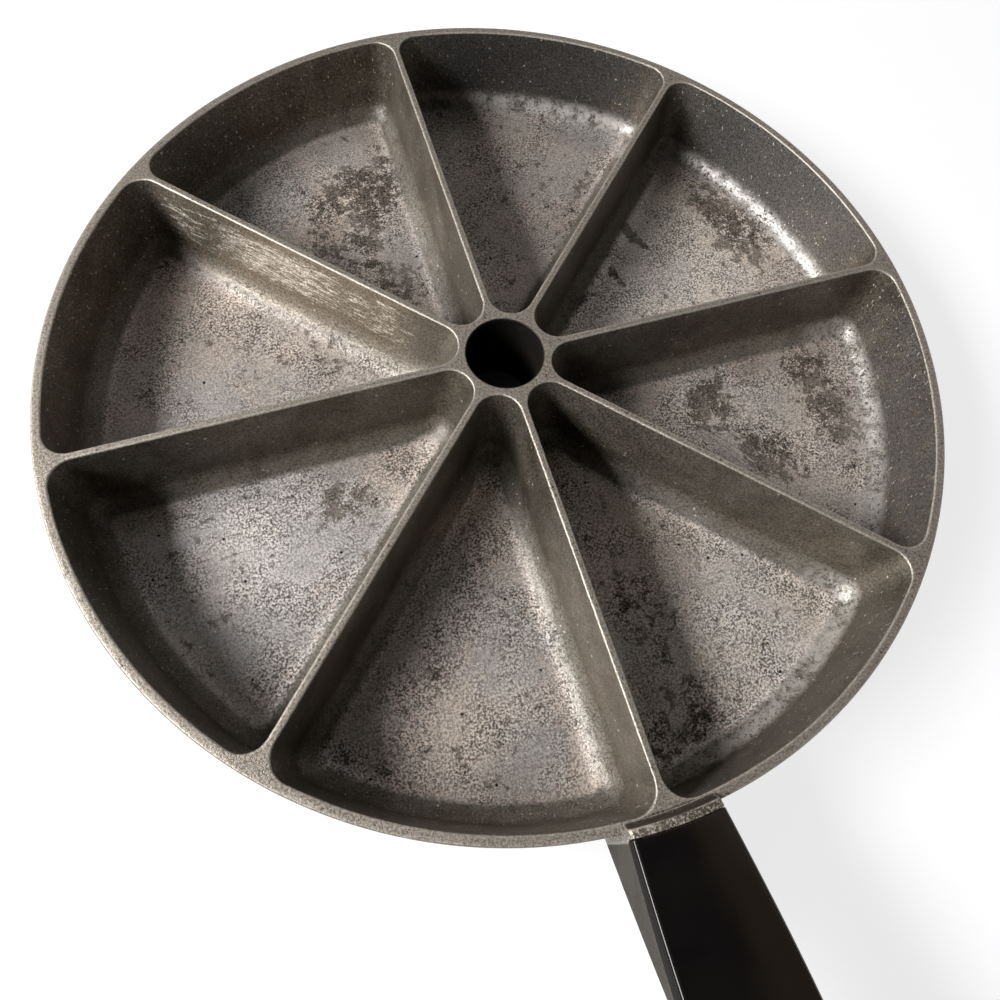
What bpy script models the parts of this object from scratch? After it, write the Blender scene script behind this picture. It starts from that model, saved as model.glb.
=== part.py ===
# Cornbread pan with eight wedge pockets: one aluminium casting with a moulded handle grip on its arm.
# Metres, +Z up. The pan stands on Z = 0 and its handle points along -Y. The origin is under the middle
# of the whole object's box.
# Sizes along the handle are distances from the seam, where the grip's front end meets the boss.
# Sizes that are heights of the handle are measured from the rim's plane.

import bpy
import bmesh
from math import asin, atan, cos, pi, radians, sin, tan
from mathutils import Matrix, Vector

# Pan
RIM_RADIUS = 0.1250
POCKET_DEPTH = 0.0280
FLOOR_THICKNESS = 0.0035
OUTER_DRAFT = radians(6.0)
BASE_CORNER = 0.0070
RIM_EDGE = 0.0004

# Pockets
POCKET_COUNT = 8
RIM_WIDTH = 0.0026
RIB_WIDTH = 0.0020
WALL_DRAFT = radians(7.0)
RIB_DRAFT = radians(5.0)
FLOOR_FILLET = 0.0080
POCKET_CORNER = 0.0063
FLOOR_CORNER = 0.0025
FLOOR_TIP = 0.0030
HUB_HOLE_RADIUS = 0.0108
HUB_HOLE_EDGE = 0.0003
HUB_LAND = 0.0024

# Boss and arm, cast in one with the pan
BOSS_REACH = 0.0013
BOSS_THICKNESS = 0.0021
BOSS_RISE = 0.0050
COVE_WIDTH = 0.0016
COVE_RISE = 0.0045
ARM_LENGTH = 0.0400
ARM_FOOT = 0.0040
ARM_TIP = 0.0012
SPLIT_RISE = 0.0010
SPLIT_SLOPE = 0.09

# Tongue of the arm, which carries the grip: the land lies between its end and the hanging hole
TONGUE_WIDTH = 0.0130
TONGUE_THICKNESS = 0.0035
TONGUE_LAND = 0.0105

# Grip
GRIP_LENGTH = 0.1300
ROOT_WIDTH = 0.0234
GRIP_WIDTH = 0.0286
SWELL_LENGTH = 0.0500
END_TAPER = 0.0030
TOP_SLOPE = 0.20
TOP_SAG = 0.30
TOP_CROWN = 0.0008
BELLY_CURVE = 1.15
GRIP_EDGE = 0.0022
BELLY_EDGE = 0.0040
HANG_HOLE_RADIUS = 0.0035
HANG_HOLE_INSET = 0.0120

# Rounded end of the grip: the shares of its width that stays and of its thickness that closes in
GRIP_END_RADIUS = 0.0125
END_FLAT = 0.12
END_CLOSE = 0.45

# Fixings: the rear screw's inset from the tongue's end, and the front screw's share of the way to it
REAR_INSET = 0.0100
FRONT_SHARE = 0.44
SCREW_RADIUS = 0.0024
SCREW_CHAMFER = 0.0006
SCREW_SLOT = 0.0011
HEAD_RADIUS = 0.0041
HEAD_HEIGHT = 0.0024
HEAD_SHARES = ((1.0, 0.4), (0.8, 0.85), (0.4, 1.0))
WASHER_RADIUS = 0.0042
WASHER_THICKNESS = 0.0011
WASHER_SPLIT = 0.0010
INSERT_RADIUS = 0.0037
INSERT_COVER = 0.0016

# Clearances, and how far cutters run on past the faces that they open
GAP = 0.0003
REACH = 0.0005
CUT_DROP = 0.0060
CUT_THROUGH = 0.0600

# Fineness
TURN_STEPS = 96
SMALL_STEPS = 20
RIM_POINTS = 11
CORNER_POINTS = 5
TIP_POINTS = 7
EDGE_POINTS = 5
FILLET_STEPS = 4
COVE_STEPS = 5
CROWN_STEPS = 4
ARM_STEPS = 6
GRIP_STEPS = 7
END_STEPS = 7
SMOOTH_ANGLE = radians(35)
MERGE = 0.00001

# Colour, roughness and metallic of each material
ALUMINIUM = ((0.27, 0.26, 0.25), 0.42, 0.9)
PHENOLIC = ((0.010, 0.009, 0.009), 0.16, 0.0)
STEEL = ((0.50, 0.49, 0.47), 0.35, 1.0)
BRASS = ((0.62, 0.45, 0.20), 0.35, 1.0)

# Derived places
RIM_HEIGHT = POCKET_DEPTH + FLOOR_THICKNESS
SEAM_RADIUS = RIM_RADIUS + BOSS_REACH
PAN_Y = (SEAM_RADIUS + GRIP_LENGTH - RIM_RADIUS) / 2
HALF_STEP = pi / POCKET_COUNT
POCKET_TIP = ((HUB_HOLE_RADIUS + HUB_LAND) * sin(HALF_STEP) - RIB_WIDTH / 2) / (1 - sin(HALF_STEP))
SPLIT_TILT = atan(SPLIT_SLOPE)
ARM_FACE = -BOSS_REACH - RIM_HEIGHT * tan(OUTER_DRAFT)
ARM_ROOT = ARM_FACE - RIM_WIDTH
TONGUE_START = ARM_LENGTH - TONGUE_WIDTH
TONGUE_END = GRIP_LENGTH - HANG_HOLE_INSET - HANG_HOLE_RADIUS - TONGUE_LAND
REAR_SCREW = TONGUE_END - REAR_INSET
FRONT_SCREW = ARM_LENGTH + (REAR_SCREW - ARM_LENGTH) * FRONT_SHARE
SCREW_PLACES = (("front", FRONT_SCREW), ("rear", REAR_SCREW))


def split_height(along):
    # The arm's top face, which the grip sits on.
    return SPLIT_RISE + SPLIT_SLOPE * along


def top_height(along):
    # The grip's top along its middle: it rises, and flattens a little towards the end.
    return BOSS_RISE + TOP_SLOPE * along - TOP_SAG * along ** 2


def belly_height(along):
    # The grip's underside: it lies level with the arm's tip, then curves up towards the end.
    if along < ARM_LENGTH:
        return split_height(along) - ARM_TIP
    return split_height(ARM_LENGTH) - ARM_TIP + BELLY_CURVE * (along - ARM_LENGTH) ** 2


def half_width(along):
    # The handle swells from the boss to its full width, then tapers slightly.
    if along < SWELL_LENGTH:
        swell = sin(pi / 2 * along / SWELL_LENGTH)
        return (ROOT_WIDTH + (GRIP_WIDTH - ROOT_WIDTH) * swell) / 2
    taper = (along - SWELL_LENGTH) / (GRIP_LENGTH - SWELL_LENGTH)
    return (GRIP_WIDTH - END_TAPER * taper ** 2) / 2


def tongue_bottom(along):
    return split_height(along) - ARM_TIP + GAP


def insert_length():
    # Both inserts have the length that fits under the grip's top at the front screw.
    room = top_height(FRONT_SCREW) - tongue_bottom(FRONT_SCREW) - TONGUE_THICKNESS
    return room - INSERT_COVER - 2 * GAP


def clear_scene():
    for old in list(bpy.data.objects):
        bpy.data.objects.remove(old, do_unlink=True)


def make_collection(name):
    collection = bpy.data.collections.new(name)
    bpy.context.scene.collection.children.link(collection)
    return collection


def make_material(name, color, roughness, metallic):
    material = bpy.data.materials.new(name)
    material.use_nodes = True
    shader = material.node_tree.nodes["Principled BSDF"]
    shader.inputs["Base Color"].default_value = (*color, 1.0)
    shader.inputs["Roughness"].default_value = roughness
    shader.inputs["Metallic"].default_value = metallic
    return material


def add_object(name, mesh, collection, parent, material=None):
    piece = bpy.data.objects.new(name, mesh)
    collection.objects.link(piece)
    piece.parent = parent
    if material:
        mesh.materials.append(material)
    return piece


def as_cutter(piece):
    piece.hide_render = True
    piece.display_type = "WIRE"
    return piece


def steps_between(start, end, count):
    return [start + (end - start) * index / count for index in range(count + 1)]


def turned(name, profile, steps, collection, parent, material=None):
    # A closed profile of (radius, height) points, which runs down its outer side, turned about Z.
    mesh = bpy.data.meshes.new(name)
    points = [(radius, 0.0, height) for radius, height in profile]
    count = len(points)
    edges = [(index, (index + 1) % count) for index in range(count)]
    mesh.from_pydata(points, edges, [])
    piece = add_object(name, mesh, collection, parent, material)
    screw = piece.modifiers.new("turn", "SCREW")
    screw.angle = 2 * pi
    screw.steps = steps
    screw.render_steps = steps
    screw.use_merge_vertices = True
    screw.merge_threshold = MERGE
    screw.use_smooth_shade = True
    return piece


def loft(name, rings, collection, parent, material=None):
    # A closed solid through rings of equal counts, with a flat cap on each end.
    mesh = bpy.data.meshes.new(name)
    shape = bmesh.new()
    rows = [[shape.verts.new(point) for point in ring] for ring in rings]
    count = len(rows[0])
    for lower, upper in zip(rows, rows[1:]):
        for index in range(count):
            after = (index + 1) % count
            shape.faces.new((lower[index], lower[after], upper[after], upper[index]))
    shape.faces.new(list(reversed(rows[0])))
    shape.faces.new(rows[-1])
    bmesh.ops.recalc_face_normals(shape, faces=shape.faces)
    shape.to_mesh(mesh)
    shape.free()
    return add_object(name, mesh, collection, parent, material)


def side_plate(name, outline, half_thickness, collection, parent):
    # A flat outline of (distance along the handle, height over the rim), upright along the handle.
    curve = bpy.data.curves.new(name, "CURVE")
    curve.dimensions = "2D"
    curve.fill_mode = "BOTH"
    curve.extrude = half_thickness
    spline = curve.splines.new("POLY")
    spline.points.add(len(outline) - 1)
    for point, (along, height) in zip(spline.points, outline):
        point.co = (along, height, 0.0, 1.0)
    spline.use_cyclic_u = True
    guide = bpy.data.objects.new(name + "_outline", curve)
    collection.objects.link(guide)
    evaluated = guide.evaluated_get(bpy.context.evaluated_depsgraph_get())
    mesh = bpy.data.meshes.new_from_object(evaluated)
    bpy.data.objects.remove(guide, do_unlink=True)
    shape = bmesh.new()
    shape.from_mesh(mesh)
    bmesh.ops.remove_doubles(shape, verts=shape.verts, dist=MERGE)
    bmesh.ops.recalc_face_normals(shape, faces=shape.faces)
    shape.to_mesh(mesh)
    shape.free()
    mesh.materials.clear()
    piece = as_cutter(add_object(name, mesh, collection, parent))
    turn = Matrix(((0, 0, -1), (-1, 0, 0), (0, 1, 0))).to_4x4()
    piece.matrix_local = Matrix.Translation((0, -SEAM_RADIUS, RIM_HEIGHT)) @ turn
    return piece


def cylinder(name, radius, length, collection, parent, steps=SMALL_STEPS):
    # An upright cylinder centred on its object's origin.
    mesh = bpy.data.meshes.new(name)
    shape = bmesh.new()
    bmesh.ops.create_cone(shape, cap_ends=True, segments=steps, radius1=radius, radius2=radius, depth=length)
    shape.to_mesh(mesh)
    shape.free()
    return as_cutter(add_object(name, mesh, collection, parent))


def cut(piece, operation, cutter=None, collection=None):
    boolean = piece.modifiers.new("cut", "BOOLEAN")
    boolean.operation = operation
    boolean.solver = "EXACT"
    if collection:
        boolean.operand_type = "COLLECTION"
        boolean.collection = collection
    else:
        boolean.object = cutter


def arc(center_x, center_y, radius, start, end, count):
    angles = steps_between(start, end, count - 1)
    return [(center_x + radius * cos(angle), center_y + radius * sin(angle)) for angle in angles]


def pocket_outline(wall_offset, rib_offset, corner, tip):
    # A pocket's plan about +X: an arc inside the rim, two rounded corners and a round tip at the hub.
    # The offsets move its rim wall and rib walls inwards from the top edge.
    outer = RIM_RADIUS - RIM_WIDTH - wall_offset
    rib = RIB_WIDTH / 2 + rib_offset
    distance = outer - corner
    turn = HALF_STEP - asin((rib + corner) / distance)
    corner_x = distance * cos(turn)
    corner_y = distance * sin(turn)
    tip_x = (rib + tip) / sin(HALF_STEP)
    square = HALF_STEP + pi / 2
    points = arc(0, 0, outer, -turn, turn, RIM_POINTS)
    points += arc(corner_x, corner_y, corner, turn, square, CORNER_POINTS)[1:]
    points += arc(tip_x, 0, tip, square, 2 * pi - square, TIP_POINTS)
    points += arc(corner_x, -corner_y, corner, -square, -turn, CORNER_POINTS)[:-1]
    return points


def pocket_rings():
    # Rings from above the rim, down the drafted walls and round the floor fillet.
    tangent_drop = POCKET_DEPTH - FLOOR_FILLET * (1 - sin(WALL_DRAFT))
    levels = [(-REACH, POCKET_CORNER, POCKET_TIP, 0.0), (tangent_drop, POCKET_CORNER, POCKET_TIP, 0.0)]
    for share in steps_between(0, 1, FILLET_STEPS)[1:]:
        bend = (pi / 2 - WALL_DRAFT) * share
        drop = tangent_drop + FLOOR_FILLET * (sin(bend + WALL_DRAFT) - sin(WALL_DRAFT))
        inwards = FLOOR_FILLET * (cos(WALL_DRAFT) - cos(bend + WALL_DRAFT))
        corner = POCKET_CORNER + (FLOOR_CORNER - POCKET_CORNER) * share ** 2
        tip = POCKET_TIP + (FLOOR_TIP - POCKET_TIP) * share ** 2
        levels.append((drop, corner, tip, inwards))
    rings = []
    for drop, corner, tip, inwards in levels:
        straight = min(drop, tangent_drop)
        wall_offset = straight * tan(WALL_DRAFT) + inwards
        rib_offset = straight * tan(RIB_DRAFT) + inwards
        plan = pocket_outline(wall_offset, rib_offset, corner, tip)
        rings.append([(x, y, RIM_HEIGHT - drop) for x, y in plan])
    return rings


def body_profile():
    # The pan before its pockets: a drafted side, a rounded base corner and the hub hole.
    base_radius = RIM_RADIUS - RIM_HEIGHT * tan(OUTER_DRAFT)
    side_angle = pi / 2 - OUTER_DRAFT
    reach = BASE_CORNER * tan(side_angle / 2)
    center_x = base_radius - reach
    points = [(RIM_RADIUS - RIM_EDGE, RIM_HEIGHT)]
    points.append((RIM_RADIUS, RIM_HEIGHT - RIM_EDGE))
    points += arc(center_x, BASE_CORNER, BASE_CORNER, -OUTER_DRAFT, -pi / 2, CORNER_POINTS)
    points.append((HUB_HOLE_RADIUS, 0.0))
    points.append((HUB_HOLE_RADIUS, RIM_HEIGHT - HUB_HOLE_EDGE))
    points.append((HUB_HOLE_RADIUS + HUB_HOLE_EDGE, RIM_HEIGHT))
    return points


def boss_profile():
    # A ring that rises from the rim in a cove. The handle's own section cuts the boss out of it.
    inner = SEAM_RADIUS - BOSS_THICKNESS
    foot = inner - COVE_WIDTH
    points = [(SEAM_RADIUS, BOSS_RISE * 2), (SEAM_RADIUS, -BOSS_RISE), (foot, -BOSS_RISE), (foot, 0.0)]
    for bend in steps_between(0, pi / 2, COVE_STEPS)[1:]:
        points.append((foot + COVE_WIDTH * sin(bend), COVE_RISE * (1 - cos(bend))))
    points.append((inner, BOSS_RISE * 2))
    return [(radius, RIM_HEIGHT + height) for radius, height in points]


def handle_section(along, bottom, top_edge, bottom_edge, narrow=1.0):
    # One upright section across the handle: a crowned top, round edges and a flat underside.
    half = half_width(along) * narrow
    top = top_height(along)
    low_edge = min(bottom_edge, (top - bottom) / 2, half)
    high_edge = min(top_edge, (top - TOP_CROWN - bottom) / 2, half)
    flat = half - high_edge
    side = [(x, top - TOP_CROWN * (x / half) ** 2) for x in steps_between(0, flat, CROWN_STEPS)]
    shoulder = side.pop()[1]
    side += arc(flat, shoulder - high_edge, high_edge, pi / 2, 0, EDGE_POINTS)
    side += arc(half - low_edge, bottom + low_edge, low_edge, 0, -pi / 2, EDGE_POINTS)
    left = [(-x, z) for x, z in reversed(side[1:])]
    y = -SEAM_RADIUS - along
    return [(x, y, RIM_HEIGHT + z) for x, z in side + [(0.0, bottom)] + left]


def arm_stations():
    # Places of the sections that the arm and the grip over it share, so that their sides are flush.
    return [ARM_ROOT - REACH] + steps_between(0, ARM_LENGTH + REACH, ARM_STEPS)


def grip_rings():
    # Sections from inside the boss to the rounded end, which closes in plan and in thickness.
    rings = []
    rounding = GRIP_LENGTH - GRIP_END_RADIUS
    for along in arm_stations() + steps_between(ARM_LENGTH + REACH, rounding, GRIP_STEPS)[1:]:
        growth = min(max((along - ARM_LENGTH) / (SWELL_LENGTH / 2), 0.0), 1.0)
        edge = ARM_TIP + (BELLY_EDGE - ARM_TIP) * growth
        rings.append(handle_section(along, belly_height(along), GRIP_EDGE, edge))
    for bend in steps_between(0, pi / 2, END_STEPS)[1:]:
        rings.append(end_section(rounding + GRIP_END_RADIUS * sin(bend), bend))
    return rings


def end_section(along, bend):
    # A section of the rounded end, whose thickness closes in over the second half of the turn.
    narrow = END_FLAT + (1 - END_FLAT) * cos(bend)
    full = handle_section(along, belly_height(along), GRIP_EDGE, BELLY_EDGE, narrow)
    middle = RIM_HEIGHT + (top_height(along) + belly_height(along)) / 2
    late = max(2 * bend - pi / 2, 0.0)
    close = 1 - END_CLOSE * (1 - cos(late))
    return [(x, y, middle + (z - middle) * close) for x, y, z in full]


def envelope_rings():
    # The arm's and the boss's outline across the handle, from below the base to the handle's top.
    bottom = -RIM_HEIGHT - REACH
    return [handle_section(along, bottom, GRIP_EDGE, REACH) for along in arm_stations()]


def arm_outline(lift=0.0, stretch=0.0, drop=0.0):
    # The arm from the side: its top carries the grip, and its underside runs up from the base.
    tip = ARM_LENGTH + stretch
    start = -BOSS_THICKNESS
    foot = ARM_FOOT - RIM_HEIGHT
    return [(start, split_height(start) + lift), (tip, split_height(tip) + lift),
            (tip, split_height(tip) - ARM_TIP - drop), (ARM_FACE, foot - drop), (ARM_ROOT, foot - drop),
            (ARM_ROOT, -BOSS_RISE / 2), (start, -BOSS_RISE / 2)]


def tongue_outline(lift=0.0, stretch=0.0, drop=0.0):
    # The tongue from the side: a straight bar that starts inside the arm.
    start = TONGUE_START - stretch
    end = TONGUE_END + stretch
    return [(start, tongue_bottom(start) + TONGUE_THICKNESS + lift),
            (end, tongue_bottom(end) + TONGUE_THICKNESS + lift),
            (end, tongue_bottom(end) - drop), (start, tongue_bottom(start) - drop)]


def fixing_matrix(along, height):
    # A place on a screw's axis, square to the tongue, at a height over the tongue's underside.
    base = Matrix.Translation((0, -SEAM_RADIUS - along, RIM_HEIGHT + tongue_bottom(along)))
    return base @ Matrix.Rotation(-SPLIT_TILT, 4, "X") @ Matrix.Translation((0, 0, height))


def build_casting(parts, cutters, root, material):
    casting = turned("pan_casting", body_profile(), TURN_STEPS, parts, root, material)

    arm = side_plate("arm_solid", arm_outline(), GRIP_WIDTH, cutters, root)
    boss = as_cutter(turned("boss_solid", boss_profile(), TURN_STEPS, cutters, root))
    envelope = as_cutter(loft("handle_envelope", envelope_rings(), cutters, root))
    tongue = side_plate("tongue_solid", tongue_outline(), TONGUE_WIDTH / 2, cutters, root)
    cut(arm, "UNION", boss)
    cut(arm, "INTERSECT", envelope)
    cut(arm, "UNION", tongue)
    cut(casting, "UNION", arm)

    pockets = make_collection("pocket_cutters")
    first = as_cutter(loft("pocket_1", pocket_rings(), pockets, root))
    for index in range(POCKET_COUNT):
        if index == 0:
            pocket = first
        else:
            pocket = as_cutter(add_object("pocket_%d" % (index + 1), first.data, pockets, root))
        pocket.rotation_euler.z = -pi / 2 + HALF_STEP * (2 * index + 1)
    cut(casting, "DIFFERENCE", collection=pockets)

    holes = make_collection("tongue_hole_cutters")
    for place, along in SCREW_PLACES:
        hole = cylinder("tongue_hole_" + place, SCREW_RADIUS + GAP, 4 * TONGUE_THICKNESS, holes, root)
        hole.matrix_local = fixing_matrix(along, TONGUE_THICKNESS / 2)
    cut(casting, "DIFFERENCE", collection=holes)


def build_grip(parts, cutters, root, material):
    grip = loft("handle_grip", grip_rings(), parts, root, material)
    grip.data.shade_smooth()
    grip.data.set_sharp_from_angle(angle=SMOOTH_ANGLE)

    front = cylinder("seam_cutter", SEAM_RADIUS + GAP, CUT_THROUGH, cutters, root, TURN_STEPS)
    front.location.z = RIM_HEIGHT
    cut(grip, "DIFFERENCE", front)
    over_arm = arm_outline(lift=GAP, stretch=GAP, drop=CUT_DROP)
    cut(grip, "DIFFERENCE", side_plate("arm_clearance", over_arm, GRIP_WIDTH, cutters, root))
    over_tongue = tongue_outline(lift=GAP, stretch=GAP, drop=CUT_DROP)
    width = TONGUE_WIDTH / 2 + GAP
    cut(grip, "DIFFERENCE", side_plate("tongue_clearance", over_tongue, width, cutters, root))

    bores = make_collection("insert_bore_cutters")
    depth = insert_length() + 3 * GAP
    for place, along in SCREW_PLACES:
        bore = cylinder("insert_bore_" + place, INSERT_RADIUS + GAP, depth, bores, root)
        bore.matrix_local = fixing_matrix(along, TONGUE_THICKNESS + depth / 2)
    cut(grip, "DIFFERENCE", collection=bores)

    hole = cylinder("hang_hole", HANG_HOLE_RADIUS, CUT_THROUGH, cutters, root)
    along = GRIP_LENGTH - HANG_HOLE_INSET
    hole.location = (0, -SEAM_RADIUS - along, RIM_HEIGHT + top_height(along))
    cut(grip, "DIFFERENCE", hole)


def screw_profile():
    # A round-headed screw, head down: the head's face is at zero and the shank points up.
    shank = WASHER_THICKNESS + TONGUE_THICKNESS + insert_length() + GAP
    points = [(0.0, shank), (SCREW_RADIUS - SCREW_CHAMFER, shank), (SCREW_RADIUS, shank - SCREW_CHAMFER)]
    points += [(SCREW_RADIUS, 0.0), (HEAD_RADIUS, 0.0)]
    points += [(HEAD_RADIUS * wide, -HEAD_HEIGHT * deep) for wide, deep in HEAD_SHARES]
    points.append((0.0, -HEAD_HEIGHT))
    return points


def turned_solid(name, profile, collection, parent, material):
    # An open profile from the axis to the axis, turned about Z.
    piece = turned(name, profile, SMALL_STEPS, collection, parent, material)
    shape = bmesh.new()
    shape.from_mesh(piece.data)
    closing = [edge for edge in shape.edges if all(abs(vert.co.x) < MERGE for vert in edge.verts)]
    bmesh.ops.delete(shape, geom=closing, context="EDGES_FACES")
    shape.to_mesh(piece.data)
    shape.free()
    return piece


def build_fixings(parts, cutters, root, steel, brass):
    bore = SCREW_RADIUS + GAP
    washer_base = -WASHER_THICKNESS - GAP
    screw_base = washer_base - GAP
    length = insert_length()
    for place, along in SCREW_PLACES:
        ring = [(WASHER_RADIUS, WASHER_THICKNESS), (WASHER_RADIUS, 0), (bore, 0), (bore, WASHER_THICKNESS)]
        washer = turned("lock_washer_" + place, ring, SMALL_STEPS, parts, root, steel)
        washer.matrix_local = fixing_matrix(along, washer_base)
        size = (WASHER_SPLIT, WASHER_RADIUS, 4 * WASHER_THICKNESS)
        split = cube_cutter("washer_split_" + place, size, cutters, root)
        split.matrix_local = fixing_matrix(along, washer_base) @ Matrix.Translation((0, -WASHER_RADIUS, 0))
        cut(washer, "DIFFERENCE", split)

        screw = turned_solid("handle_screw_" + place, screw_profile(), parts, root, steel)
        screw.matrix_local = fixing_matrix(along, screw_base)
        size = (3 * HEAD_RADIUS, SCREW_SLOT, HEAD_HEIGHT)
        slot = cube_cutter("screw_slot_" + place, size, cutters, root)
        slot.matrix_local = fixing_matrix(along, screw_base - HEAD_HEIGHT)
        cut(screw, "DIFFERENCE", slot)

        sleeve = [(INSERT_RADIUS, length), (INSERT_RADIUS, 0), (bore, 0), (bore, length)]
        insert = turned("threaded_insert_" + place, sleeve, SMALL_STEPS, parts, root, brass)
        insert.matrix_local = fixing_matrix(along, TONGUE_THICKNESS + 2 * GAP)


def cube_cutter(name, size, collection, parent):
    mesh = bpy.data.meshes.new(name)
    shape = bmesh.new()
    bmesh.ops.create_cube(shape, size=1.0)
    bmesh.ops.scale(shape, vec=Vector(size), verts=shape.verts)
    shape.to_mesh(mesh)
    shape.free()
    return as_cutter(add_object(name, mesh, collection, parent))


def build():
    clear_scene()
    parts = make_collection("cornbread_wedge_pan")
    cutters = make_collection("cutters")
    root = bpy.data.objects.new("pan_axis", None)
    root.location.y = PAN_Y
    parts.objects.link(root)
    aluminium = make_material("cast_aluminium", *ALUMINIUM)
    phenolic = make_material("black_phenolic", *PHENOLIC)
    steel = make_material("plated_steel", *STEEL)
    brass = make_material("brass", *BRASS)
    build_casting(parts, cutters, root, aluminium)
    build_grip(parts, cutters, root, phenolic)
    build_fixings(parts, cutters, root, steel, brass)
    bpy.context.view_layer.update()


build()
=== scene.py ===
from functools import partial
from math import asin, atan, cos, pi, radians, sin, sqrt, tan
import bpy
import bmesh
from mathutils import Matrix, Vector, noise


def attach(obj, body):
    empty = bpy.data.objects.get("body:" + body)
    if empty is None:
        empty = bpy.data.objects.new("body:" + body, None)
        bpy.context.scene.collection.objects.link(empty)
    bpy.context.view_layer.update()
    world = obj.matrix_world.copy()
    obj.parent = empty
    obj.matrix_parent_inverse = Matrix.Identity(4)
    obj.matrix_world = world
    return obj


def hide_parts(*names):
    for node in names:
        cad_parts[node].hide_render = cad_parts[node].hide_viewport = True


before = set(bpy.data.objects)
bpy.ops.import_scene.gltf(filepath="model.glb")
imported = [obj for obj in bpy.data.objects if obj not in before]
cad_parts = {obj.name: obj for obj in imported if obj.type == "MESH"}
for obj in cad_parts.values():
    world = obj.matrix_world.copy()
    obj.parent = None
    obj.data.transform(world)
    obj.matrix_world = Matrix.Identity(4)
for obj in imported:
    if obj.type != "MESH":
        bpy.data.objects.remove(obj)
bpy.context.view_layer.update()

mm = 0.001
weld = 0.01 * mm  # points that lie closer than this become one
near = 0.02 * mm  # how far off its own circle a point may be and still be picked


def clearSelection():
    active = bpy.context.object
    if active and active.mode != "OBJECT":
        bpy.ops.object.mode_set(mode="OBJECT")
    bpy.ops.object.select_all(action="DESELECT")


def makeActive(piece):
    clearSelection()
    piece.select_set(True)
    bpy.context.view_layer.objects.active = piece


def between(start, end, count):  # evenly spaced values, both ends included
    return [start + (end - start) * step / count for step in range(count + 1)]


def ringAt(points, name, filled=True):  # a circle primitive whose vertices are dragged onto an outline
    clearSelection()
    fill = "NGON" if filled else "NOTHING"
    bpy.ops.mesh.primitive_circle_add(vertices=len(points), radius=10 * mm, fill_type=fill)
    piece = bpy.context.object
    piece.name = name
    piece.data.name = name
    piece.data.attributes.new("order", "INT", "POINT")
    for vertex, tag, point in zip(piece.data.vertices, piece.data.attributes["order"].data, points):
        vertex.co = point
        tag.value = vertex.index
    bpy.ops.object.mode_set(mode="EDIT")
    bpy.ops.mesh.select_all(action="SELECT")
    return piece


def pullTo(piece, points):  # extrudes what is selected, then drags each new vertex to its own place
    bpy.ops.mesh.extrude_region_move()
    shape = bmesh.from_edit_mesh(piece.data)
    order = shape.verts.layers.int["order"]
    for vert in shape.verts:
        if vert.select:
            vert.co = points[vert[order]]
    bmesh.update_edit_mesh(piece.data)


def pickEdges(piece, test):  # selects the edges whose two ends pass a test on their place
    shape = bmesh.from_edit_mesh(piece.data)
    bpy.ops.mesh.select_mode(type="EDGE")
    bpy.ops.mesh.select_all(action="DESELECT")
    for edge in shape.edges:
        edge.select_set(all(test(vert.co) for vert in edge.verts))
    bmesh.update_edit_mesh(piece.data)


def closeUp(piece):  # merges doubles, turns all faces outwards and leaves edit mode
    bpy.ops.mesh.select_mode(type="VERT")
    bpy.ops.mesh.select_all(action="SELECT")
    bpy.ops.mesh.remove_doubles(threshold=weld)
    bpy.ops.mesh.normals_make_consistent(inside=False)
    bpy.ops.object.mode_set(mode="OBJECT")
    return piece


def tube(rings, name):  # a solid through rings of points, closed at both ends
    piece = ringAt(rings[0], name)
    for ring in rings[1:]:
        pullTo(piece, ring)
    return closeUp(piece)


def block(outline, width, name):  # a side outline of (along, height), made solid across the handle
    piece = ringAt([handlePlace(-width / 2, reach, height) for reach, height in outline], name)
    bpy.ops.mesh.extrude_region_move(TRANSFORM_OT_translate={"value": (width, 0, 0)})
    return closeUp(piece)


def slab(start, end, low, high, width, name):  # a bar along the handle, parallel to the split over the arm
    corners = [(start, high), (end, high), (end, low), (start, low)]
    return block([(reach, splitHeight(reach) + height) for reach, height in corners], width, name)


def rod(radius, length, place=(0, 0, 0), sides=48):
    clearSelection()
    bpy.ops.mesh.primitive_cylinder_add(vertices=sides, radius=radius, depth=length, location=place)
    return bpy.context.object


def join(piece, other, operation):  # boolean with another solid, which is used up
    makeActive(piece)
    cut = piece.modifiers.new("cut", "BOOLEAN")
    cut.operation = operation
    cut.solver = "MANIFOLD"
    cut.object = other
    bpy.ops.object.modifier_apply(modifier=cut.name)
    bpy.data.objects.remove(other, do_unlink=True)
    return piece


def softenEdges(piece, width, angle=35, segments=3):  # rounds every edge that is sharper than the angle
    makeActive(piece)
    bevel = piece.modifiers.new("edges", "BEVEL")
    bevel.width = width
    bevel.segments = segments
    bevel.limit_method = "ANGLE"
    bevel.angle_limit = radians(angle)
    bevel.use_clamp_overlap = False
    bpy.ops.object.modifier_apply(modifier=bevel.name)
    return piece


def smoothOver(piece, angle=30):
    makeActive(piece)
    bpy.ops.object.shade_smooth_by_angle(angle=radians(angle))
    evened = piece.modifiers.new("flats stay flat", "WEIGHTED_NORMAL")
    evened.keep_sharp = True
    bpy.ops.object.modifier_apply(modifier=evened.name)


def markEdges(piece, width):  # writes how sharply each vertex stands out, from 0 on a flat to 1 on an edge
    shape = bmesh.new()
    shape.from_mesh(piece.data)
    sharp = [0.0] * len(shape.verts)
    for edge in shape.edges:
        if len(edge.link_faces) == 2:
            first, second = [face.calc_center_median() for face in edge.link_faces]
            bend = edge.calc_face_angle_signed(0) / max((first - second).length, 0.02 * mm)
            for vert in edge.verts:
                sharp[vert.index] = max(sharp[vert.index], min(bend * width, 1.0))
    shape.free()
    mark = piece.data.attributes.new("edge", "FLOAT", "POINT")
    mark.data.foreach_set("value", sharp)


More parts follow.
